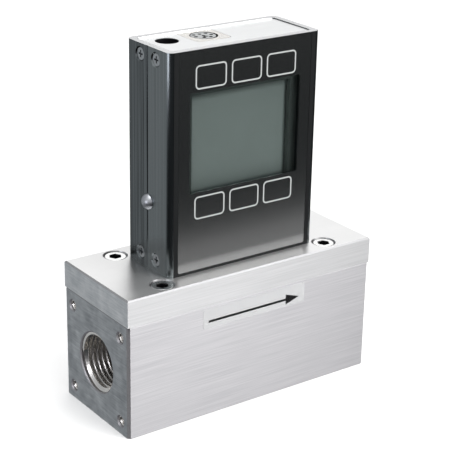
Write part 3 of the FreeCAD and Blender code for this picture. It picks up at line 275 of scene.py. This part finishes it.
def polished_steel(tree):
    """Stainless screw stock, barrel polished: bright with faint marks."""
    return speckled(tree, (0.5, 0.5, 0.5), ("#c4c4c2", "#dddddb"), (0.14, 0.26), METAL, 3.0)


def anodised_extrusion(tree, node, dark, light, line_width):
    """Extruded aluminium, anodised black: glossy drawn sides, a matt near black front that is painted shade, and
    bare cuts at its ends.
    """
    low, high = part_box(node)
    normal = add(tree, "NewGeometry").outputs["Normal"]
    # The saw bares the end faces, and the mill bares the last of the wall's inside, where the cap sits
    reach = off_middle(tree, "Z", (low.z + high.z) / 2)
    end = add(tree, "Math", {0: reach, 1: (high.z - low.z) / 2 - BARE_END * MM}, operation="GREATER_THAN")
    inwards = 1.0 if (low.y + high.y) / 2 < 0 else -1.0
    across = add(tree, "SeparateXYZ", {"Vector": normal}).outputs["Y"]
    inner = add(tree, "Math", {0: across, 1: inwards}, operation="MULTIPLY")
    seat = add(tree, "Math", {0: inner, 1: NEARLY_SQUARE}, operation="GREATER_THAN")
    cut = add(tree, "Math", {0: facing(tree, "Z", SQUARE), 1: seat}, operation="MAXIMUM")
    bare = add(tree, "Math", {0: cut, 1: end}, operation="MULTIPLY")
    lines = grain(tree, (line_width, line_width, 90.0), 3.0)
    share = add(tree, "MapRange", {"Value": lines, "From Min": 0.32, "From Max": 0.68})
    coated = add(tree, "Mix", {"Factor": share, "A": dark, "B": light}, data_type="RGBA")
    saw_marks = grain(tree, (0.4, 6.0, 6.0))
    sawn = add(tree, "Mix", {"Factor": saw_marks, "A": "#c9cacb", "B": "#dcdddd"}, data_type="RGBA")
    level = add(tree, "VectorMath", {0: normal, 1: NEARLY_UP}, operation="CROSS_PRODUCT")
    drawn = finish(
        tree, lines, add(tree, "Mix", {"Factor": bare, "A": coated, "B": sawn}, data_type="RGBA"), (0.21, 0.28),
        {"Metallic": 1.0, "Anisotropic": 0.8, "Tangent": level}, bump_mm=0.003)
    # Painted shade: flat faces that look along Y take this matt near black finish, darker than the drawn sides,
    # for the head's dark front margins and foot
    matt = speckled(tree, (0.3, 0.3, 0.3), ("#0e0f10", "#151718"), (0.5, 0.5), {"IOR": 1.25})
    flat = facing(tree, "Y", EXACTLY_SQUARE)
    front = add(tree, "Math", {0: flat, 1: bare}, operation="SUBTRACT", use_clamp=True)
    return add(tree, "MixShader", {0: front, 1: drawn, 2: matt})


def front_anodised(tree):
    """Aluminium extrusion, satin black anodised: even, with fine drawing lines along it."""
    return anodised_extrusion(tree, "front_shell", "#73797a", "#82888a", 0.7)


def rear_anodised(tree):
    """Aluminium extrusion, satin black anodised: darker, with plain drawing lines along it."""
    return anodised_extrusion(tree, "rear_shell", "#3d4244", "#787e80", 1.1)


def bead_blasted_aluminium(tree):
    """Machined aluminium, lightly blasted and clear anodised: pale, even and matt."""
    beads = grain(tree, (0.3, 0.3, 0.3))
    lines = grain(tree, (24.0, 0.4, 0.4))
    colour = add(tree, "Mix", {"Factor": lines, "A": "#c0c1c1", "B": "#cecfcf"}, data_type="RGBA")
    return finish(tree, beads, colour, (0.3, 0.4), METAL, bump_mm=0.003)


def nickel_plate(tree):
    """Pressed steel, nickel plated: bright and faintly warm."""
    return speckled(tree, (1.0, 1.0, 1.0), ("#cfccc6", "#e0ddd8"), (0.16, 0.28), METAL)


def gilt_contact(tree):
    """Brass with a thin gold flash, as on plug contacts."""
    return speckled(tree, (0.6, 0.6, 0.6), ("#c79a45", "#e3bd6c"), (0.2, 0.35), METAL)


def printed_film(tree):
    """Polyester overlay, printed near black behind a fine satin face."""
    return speckled(tree, (0.25, 0.25, 0.25), ("#0e1010", "#131515"), (0.18, 0.22),
                    {"IOR": 1.68, "Specular IOR Level": 1.0})


def backing_film(tree):
    """Black polyester layer behind the overlay: matt."""
    return speckled(tree, (0.3, 0.3, 0.3), ("#101112", "#191b1c"), (0.45, 0.55), PLASTIC)


def blackened_steel(tree):
    """Small screws, black zinc plated and worn: grey with bright glints."""
    return speckled(tree, (0.7, 0.7, 0.7), ("#8a8e91", "#c8cbce"), (0.16, 0.26), METAL, 3.0)


def pale_ink(tree):
    """Screen printed ink, light grey: matt, with a slightly uneven tone."""
    return speckled(tree, (0.4, 0.4, 0.4), ("#8f9291", "#a6a9a8"), (0.5, 0.5), PLASTIC)


def black_ink(tree):
    """Screen printed ink, black: matt."""
    return speckled(tree, (0.4, 0.4, 0.4), ("#0d0d0e", "#19191b"), (0.55, 0.55), PLASTIC)


def clear_film(tree):
    """Clear matt polyester label: a thin haze over the steel."""
    haze = speckled(tree, (0.3, 0.3, 0.3), ("#e4e5e6", "#ebecec"), (0.42, 0.5), PLASTIC)
    return add(tree, "MixShader", {0: LABEL_HAZE, 1: add(tree, "BsdfTransparent"), 2: haze})


def clear_pane(tree):
    """Clear acrylic pane: see-through, with only the gloss of its flat faces showing."""
    clouds = grain(tree, (3.0, 3.0, 3.0))
    through = add(tree, "BsdfTransparent", {"Color": "#f4f7f6"})
    rough = add(tree, "MapRange", {"Value": clouds, "To Min": 0.03, "To Max": 0.06})
    gloss = add(tree, "BsdfGlossy", {"Roughness": rough})
    edge = add(tree, "Fresnel", {"IOR": 1.49})
    leaving = add(tree, "NewGeometry").outputs["Backfacing"]
    entering = add(tree, "Math", {0: 1.0, 1: leaving}, operation="SUBTRACT")
    flat = add(tree, "Math", {0: entering, 1: facing(tree, "Y")}, operation="MULTIPLY")
    share = add(tree, "Math", {0: edge, 1: flat}, operation="MULTIPLY")
    return add(tree, "MixShader", {0: share, 1: through, 2: gloss})


def liquid_crystal(tree):
    """Reflective liquid crystal glass, unlit: grey green, with a painted shadow darkening it towards the rim of
    its frame.
    """
    low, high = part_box("lcd_glass")
    middle = (low + high) / 2
    half = (high - low) / 2
    shares = []
    # Painted shadow: the glass darkens in a soft band along every edge of its opening
    for axis, index, fade in (("X", 0, GLASS_SHADE_SIDE), ("Z", 2, GLASS_SHADE_TOP)):
        rim = half[index] - GLASS_BORDER * MM
        shares.append(add(tree, "MapRange", {
            "Value": off_middle(tree, axis, middle[index]), "From Min": rim, "From Max": rim - fade * MM},
            interpolation_type="SMOOTHSTEP"))
    lit = add(tree, "Math", {0: shares[0], 1: shares[1]}, operation="MULTIPLY")
    return two_toned(tree, (30.0, 30.0, 30.0), lit, ("#2b302f", "#303534"), ("#5e6362", "#666b6a"), (0.28, 0.28),
                     PLASTIC)


def moulded_black(tree):
    """Glass filled plastic, moulded black: fine sparked grain."""
    return speckled(tree, (0.3, 0.3, 0.3), ("#0b0b0d", "#131316"), (0.5, 0.65), {"IOR": 1.15}, bump_mm=0.01)


def moulded_bezel(tree):
    """Plastic frame round the glass, moulded dark grey: matt, with painted light and shade that make its walls a
    little paler than its face.
    """
    # Painted light and shade: faces that look along Y take the darker pair of colours, all other faces the paler
    # pair
    return two_toned(tree, (0.3, 0.3, 0.3), facing(tree, "Y"), ("#4a504e", "#545a58"), ("#262a29", "#2d3130"),
                     (0.6, 0.7), {"IOR": 1.3})


def insulator_sheen_and_shade(tree):
    """Face of the socket's insulator: painted pale on its upward face, a painted sheen of the bright room on the
    moulded plastic, with painted shade on the walls of its holes.
    """
    # Painted sheen and shade: faces that look along Z take the pale pair of colours, the walls of the holes the
    # dark pair
    return two_toned(tree, (0.4, 0.4, 0.4), facing(tree, "Z"), ("#111113", "#1a1a1c"), ("#949696", "#a0a2a2"),
                     (0.5, 0.6), {"IOR": 1.25})


def socket_screw(tree):
    """Socket head screw of polished stainless steel, with painted shade inside its hexagon and on all of it below
    its top face.
    """
    place = add(tree, "TexCoord").outputs["Object"]
    height = add(tree, "SeparateXYZ", {"Vector": place}).outputs["Z"]
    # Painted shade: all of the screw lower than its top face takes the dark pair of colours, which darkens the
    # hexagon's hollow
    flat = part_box("cover_screws")[1].z - SCREW_SHADE_BELOW_TOP * MM
    head = add(tree, "Math", {0: height, 1: flat}, operation="GREATER_THAN")
    return two_toned(tree, (0.5, 0.5, 0.5), head, ("#4e4f51", "#6a6b6d"), ("#c4c4c3", "#dadad9"), (0.2, 0.32),
                     METAL, 3.0)


def satin_steel(tree):
    """Turned stainless button, satin finished."""
    return speckled(tree, (0.5, 0.5, 0.5), ("#a4a7ac", "#b9bcc1"), (0.36, 0.42), METAL, 3.0)


def moulded_grey(tree):
    """Moulded grey plastic of the sensors."""
    return speckled(tree, (0.4, 0.4, 0.4), ("#4b4d51", "#5c5e62"), (0.4, 0.5), PLASTIC)


def green_board(tree):
    """Glass fibre board under green lacquer, with the weave just showing."""
    return speckled(tree, (0.8, 0.8, 0.8), ("#0f4a2a", "#1b6138"), (0.3, 0.42), PLASTIC)


def black_rubber(tree):
    """Moulded nitrile rubber: dull black with a faint bloom."""
    return speckled(tree, (0.5, 0.5, 0.5), ("#151515", "#242424"), (0.6, 0.75), PLASTIC)


def milky_guide(tree):
    """Acrylic light guide with a diffusing face."""
    return speckled(tree, (1.0, 1.0, 1.0), ("#d5d9d6", "#e6e9e6"), (0.35, 0.5), PLASTIC)


def pale_paper(tree):
    """Seamless background paper: matt white."""
    return speckled(tree, (40.0, 40.0, 40.0), ("#f0f0ef", "#f4f4f3"), (0.9, 0.9), PLASTIC)


NODE_FINISHES = {
    "brushed_stainless_block": (block_stainless, ("flow_body",)),
    "brushed_stainless_plate": (plate_stainless, ("top_plate",)),
    "turned_steel": (turned_steel, ("laminar_element", "spacer_sleeve", "flow_straightener", "retaining_ring")),
    "polished_steel": (polished_steel, ("base_screws", "sensor_screws", "temperature_probe")),
    "polished_socket_screw": (socket_screw, ("cover_screws",)),
    "satin_steel": (satin_steel, ("side_button",)),
    "blackened_steel": (blackened_steel, ("shell_screws",)),
    "anodised_front_extrusion": (front_anodised, ("front_shell",)),
    "anodised_rear_extrusion": (rear_anodised, ("rear_shell",)),
    "bead_blasted_aluminium": (bead_blasted_aluminium, ("top_cap", "base_block", "smoothing_capacitor")),
    "nickel_plate": (nickel_plate, ("socket_shell", "jack_pin")),
    "gilt_contact": (gilt_contact, ("socket_contacts", "sensor_standoffs")),
    "printed_film": (printed_film, ("keypad_overlay",)),
    "backing_film": (backing_film, ("keypad_circuit",)),
    "clear_film": (clear_film, ("flow_arrow_label",)),
    "clear_pane": (clear_pane, ("display_window",)),
    "liquid_crystal_glass": (liquid_crystal, ("lcd_glass",)),
    "milky_light_guide": (milky_guide, ("backlight_panel",)),
    "moulded_bezel_plastic": (moulded_bezel, ("lcd_frame",)),
    "moulded_black_plastic": (moulded_black, (
        "jack_body", "board_connector", "switch_housing", "controller_chip", "socket_body")),
    "moulded_grey_plastic": (moulded_grey, ("differential_sensor", "absolute_sensor", "switch_plunger")),
    "green_board": (green_board, ("main_board", "sensor_board")),
    "black_rubber": (black_rubber, (
        "element_seals", "channel_seals", "port_seals", "sensor_seals", "lcd_contact_strips")),
}


def dress_nodes():
    """Gives every CAD node its material and returns the materials by name."""
    made = {}
    for name, (build, nodes) in NODE_FINISHES.items():
        made[name] = material(name, build)
        for node in nodes:
            mesh = frame["nodes"][node].data
            mesh.materials.clear()
            mesh.materials.append(made[name])
    return made


# New pieces

def piece(name, bm, surface):
    """Turns a bmesh into a new piece that rides on the meter."""
    bmesh.ops.remove_doubles(bm, verts=bm.verts, dist=MERGE_DISTANCE)
    bmesh.ops.recalc_face_normals(bm, faces=bm.faces)
    mesh = bpy.data.meshes.new(name)
    bm.to_mesh(mesh)
    bm.free()
    mesh.materials.append(surface)
    made = bpy.data.objects.new(name, mesh)
    bpy.context.scene.collection.objects.link(made)
    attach(made, BODY)


def stand_up(bm, x, y, z):
    """Turns a flat outline that faces +Z so that it faces -Y, and puts it in place."""
    bmesh.ops.rotate(bm, cent=(0, 0, 0), matrix=Matrix.Rotation(math.pi / 2, 3, "X"), verts=bm.verts)
    bmesh.ops.translate(bm, vec=(x, y, z), verts=bm.verts)


def thicken(bm, thickness):
    """Gives a flat outline that faces +Z a thickness upwards."""
    grown = bmesh.ops.extrude_face_region(bm, geom=bm.faces[:], use_keep_orig=True)
    top = [part for part in grown["geom"] if isinstance(part, bmesh.types.BMVert)]
    bmesh.ops.translate(bm, vec=(0, 0, thickness), verts=top)


def closed_line(bm, points):
    """Corners and edges of a closed line through points given in metres."""
    corners = [bm.verts.new(point) for point in points]
    return corners + [bm.edges.new(pair) for pair in zip(corners, corners[1:] + corners[:1])]


def key_outline(name, x, y, z, ink):
    """Printed outline of one key field."""
    bm = bmesh.new()
    bmesh.ops.create_grid(bm, x_segments=1, y_segments=1, size=0.5)
    bmesh.ops.scale(bm, vec=(KEY_WIDTH * MM, KEY_HEIGHT * MM, 1), verts=bm.verts)
    bmesh.ops.bevel(bm, geom=bm.verts, offset=KEY_CORNER * MM, offset_type="OFFSET",
                    segments=KEY_CORNER_STEPS, profile=0.5, affect="VERTICES", material=-1)
    rim = bmesh.ops.inset_region(bm, faces=bm.faces[:], thickness=KEY_LINE * MM, use_boundary=True,
                                 use_even_offset=True)
    inner = [face for face in bm.faces if face not in set(rim["faces"])]
    bmesh.ops.delete(bm, geom=inner, context="FACES")
    thicken(bm, INK_THICKNESS * MM)
    stand_up(bm, x, y, z)
    piece(name, bm, ink)


def key_outlines(ink):
    """Six key outlines, three above the window and three below it."""
    film_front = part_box("keypad_overlay")[0].y
    pane_low, pane_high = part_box("display_window")
    rows = {"upper": pane_high.z + (KEY_ROW_ABOVE_WINDOW - WINDOW_EDGE) * MM,
            "lower": pane_low.z - (KEY_ROW_BELOW_WINDOW - WINDOW_EDGE) * MM}
    for row, z in rows.items():
        for column in (-1, 0, 1):
            name = f"key_outline_{row}_{column + 2}"
            key_outline(name, column * KEY_PITCH * MM, film_front, z, ink)


def flow_arrow(ink):
    """Printed arrow on the label of the block's front face."""
    low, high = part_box("flow_arrow_label")
    start = low.x + ARROW_INSET * MM
    tip = high.x - ARROW_INSET * MM
    neck = tip - ARROW_HEAD_LENGTH * MM
    half = ARROW_SHAFT / 2 * MM
    barb = ARROW_HEAD_HALF_HEIGHT * MM
    bm = bmesh.new()
    outline = ((start, -half), (neck, -half), (neck, -barb), (tip, 0), (neck, barb), (neck, half), (start, half))
    bm.faces.new([bm.verts.new((x, y, 0)) for x, y in outline])
    thicken(bm, INK_THICKNESS * MM)
    stand_up(bm, 0, low.y + INK_THICKNESS * MM, low.z + ARROW_FROM_FOOT * MM)
    piece("flow_arrow", bm, ink)


def thread(name, mount_name, pitch, depth, crest, steps, steel):
    """Ridge of the thread inside one hole, cut off flush at the mouth."""
    mount = next(m for m in frame["record"]["mounts"] if m["name"] == mount_name)
    place = Vector(mount["pos_m"])
    side = mount["axis"][0]
    radius = mount["dims"]["r_mm"]
    length = mount["dims"]["length_mm"]
    turns = int(length / pitch)
    half = pitch / 2
    section = ((half, THREAD_ROOT), (crest / 2, depth), (-crest / 2, depth), (-half, THREAD_ROOT))
    bm = bmesh.new()
    profile = closed_line(bm, [(side * along * MM, (radius - deep) * MM, 0) for along, deep in section])
    bmesh.ops.spin(bm, geom=profile, cent=(0, 0, 0), axis=(1, 0, 0), angle=2 * math.pi * turns,
                   steps=steps * turns, dvec=(-side * pitch * MM / steps, 0, 0))
    mouth = Vector((place.x + side * (length / 2 - THREAD_INSET) * MM, place.y, place.z))
    bmesh.ops.translate(bm, vec=mouth, verts=bm.verts)
    bmesh.ops.bisect_plane(bm, geom=bm.verts[:] + bm.edges[:] + bm.faces[:], plane_co=mouth,
                           plane_no=(side, 0, 0), clear_outer=True)
    bmesh.ops.holes_fill(bm, edges=[edge for edge in bm.edges if edge.is_boundary])
    piece(name, bm, steel)


def threads(steel):
    """Pipe threads of the two ports and screw threads of the holes round them."""
    for end in ("inlet", "outlet"):
        thread(f"{end}_port_thread", f"{end}_port", THREAD_PITCH, THREAD_DEPTH, THREAD_CREST, THREAD_STEPS, steel)
        for number in (1, 2, 3, 4):
            thread(f"{end}_face_thread_{number}", f"{end}_face_hole_{number}", SCREW_PITCH, SCREW_DEPTH,
                   SCREW_CREST, SCREW_STEPS, steel)


def jack_liner(black):
    """Black sleeve of the power jack, inside its hole in the cap."""
    low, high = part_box("jack_pin")
    centre = (low + high) / 2
    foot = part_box("jack_body")[1].z
    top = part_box("top_cap")[1].z - LINER_DROP * MM
    bm = bmesh.new()
    corners = ((LINER_RADIUS, foot), (LINER_RADIUS, top), (LINER_RADIUS - LINER_WALL, top),
               (LINER_RADIUS - LINER_WALL, foot))
    profile = closed_line(bm, [(radius * MM, 0, z) for radius, z in corners])
    bmesh.ops.spin(bm, geom=profile, cent=(0, 0, 0), axis=(0, 0, 1), angle=2 * math.pi, steps=LINER_STEPS,
                   use_merge=True)
    bmesh.ops.translate(bm, vec=(centre.x, centre.y, 0), verts=bm.verts)
    piece("jack_liner", bm, black)


def insulator_face(pale):
    """Face of the data socket's insulator, with its contact holes and keyway."""
    low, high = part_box("socket_shell")
    centre = (low + high) / 2
    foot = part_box("socket_body")[1].z
    circles = [(INSULATOR_RADIUS, 0, 0, INSULATOR_STEPS)]
    circles += [(CONTACT_HOLE_RADIUS, x, y, CONTACT_HOLE_STEPS) for y, row in CONTACT_ROWS for x in row]
    bm = bmesh.new()
    for radius, x, y, steps in circles:
        bmesh.ops.create_circle(bm, radius=radius * MM, segments=steps,
                                matrix=Matrix.Translation((x * MM, y * MM, 0)))
    right = KEYWAY_WIDTH / 2 * MM
    near = (-KEYWAY_DROP - KEYWAY_HEIGHT / 2) * MM
    far = near + KEYWAY_HEIGHT * MM
    closed_line(bm, ((-right, near, 0), (right, near, 0), (right, far, 0), (-right, far, 0)))
    bmesh.ops.triangle_fill(bm, use_beauty=True, use_dissolve=False, edges=bm.edges[:], normal=(0, 0, 1))
    thicken(bm, high.z - INSULATOR_TOP_DROP * MM - foot)
    bmesh.ops.translate(bm, vec=(centre.x, centre.y, foot), verts=bm.verts)
    piece("insulator_face", bm, pale)


# Floor, lights and camera

def floor():
    """Plain pale floor."""
    bm = bmesh.new()
    bmesh.ops.create_grid(bm, x_segments=1, y_segments=1, size=FLOOR_HALF * MM)
    mesh = bpy.data.meshes.new("studio_floor")
    bm.to_mesh(mesh)
    bm.free()
    made = bpy.data.objects.new("studio_floor", mesh)
    bpy.context.scene.collection.objects.link(made)
    made.location = (0, 0, -FLOOR_DROP * MM)
    made.visible_glossy = False
    mesh.materials.append(material("studio_paper", pale_paper))


def softbox(name, place, target, width, height, watts, colour):
    """Soft rectangular light that points at a target."""
    data = bpy.data.lights.new(name, "AREA")
    data.shape = "RECTANGLE"
    data.size = width
    data.size_y = height
    data.energy = watts
    data.color = linear(colour)[:3]
    made = bpy.data.objects.new(name, data)
    bpy.context.scene.collection.objects.link(made)
    made.location = place
    made.rotation_euler = (Vector(target) - Vector(place)).to_track_quat("-Z", "Y").to_euler()
    made.visible_camera = False


def studio_light():
    """White for the camera; for reflections a bright room over a dark table, both greyer at the far left."""
    world = bpy.data.worlds.new("studio")
    bpy.context.scene.world = world
    world.use_nodes = True
    tree = world.node_tree
    tree.nodes.clear()
    direction = add(tree, "TexCoord").outputs["Generated"]
    side = add(tree, "VectorMath", {0: direction, 1: NEAR_RIGHT}, operation="DOT_PRODUCT")
    height = add(tree, "SeparateXYZ", {"Vector": direction}).outputs["Z"]
    in_room, on_table, upwards = [
        add(tree, "MapRange", {"Value": value, "From Min": fade[0], "From Max": fade[1]})
        for value, fade in ((side, ROOM_FADE), (side, TABLE_FADE), (height, HORIZON_FADE))]
    room = add(tree, "Mix", {"Factor": in_room, "A": "#a8abae", "B": "#e9e9ea"}, data_type="RGBA")
    table = add(tree, "Mix", {"Factor": on_table, "A": "#b4b7b9", "B": "#303234"}, data_type="RGBA")
    seen = add(tree, "Mix", {"Factor": upwards, "A": table, "B": room}, data_type="RGBA")
    studio = add(tree, "Background", {"Color": seen, "Strength": 1.0})
    backdrop = add(tree, "Background", {"Color": "#ffffff", "Strength": 1.0})
    ray = add(tree, "LightPath").outputs["Is Camera Ray"]
    add(tree, "OutputWorld", {"Surface": add(tree, "MixShader", {0: ray, 1: studio, 2: backdrop})})
    for light in LIGHTS:
        softbox(*light)


def camera():
    """Camera at the photograph's viewpoint."""
    azimuth = math.radians(CAMERA_AZIMUTH)
    elevation = math.radians(CAMERA_ELEVATION)
    back = Vector((math.sin(azimuth) * math.cos(elevation), -math.cos(azimuth) * math.cos(elevation),
                   math.sin(elevation)))
    right = Vector((math.cos(azimuth), math.sin(azimuth), 0))
    up = back.cross(right)
    turn = Matrix((right, up, back)).transposed()
    data = bpy.data.cameras.new("camera")
    data.sensor_width = SENSOR
    data.lens = FOCAL_PIXELS * SENSOR / IMAGE_PIXELS
    data.clip_start = CLIP_START * MM
    data.clip_end = CLIP_END * MM
    made = bpy.data.objects.new("camera", data)
    bpy.context.scene.collection.objects.link(made)
    rolled = turn @ Matrix.Rotation(math.radians(CAMERA_ROLL), 3, "Z")
    made.matrix_world = Matrix.Translation(Vector(CAMERA_PLACE) * MM) @ rolled.to_4x4()
    bpy.context.scene.camera = made


surfaces = dress_nodes()
key_outlines(material("pale_ink", pale_ink))
flow_arrow(material("black_ink", black_ink))
threads(surfaces["turned_steel"])
jack_liner(surfaces["moulded_black_plastic"])
insulator_face(material("insulator_painted_sheen_and_shade", insulator_sheen_and_shade))
floor()
studio_light()
camera()
bpy.context.scene.view_settings.view_transform = "Standard"
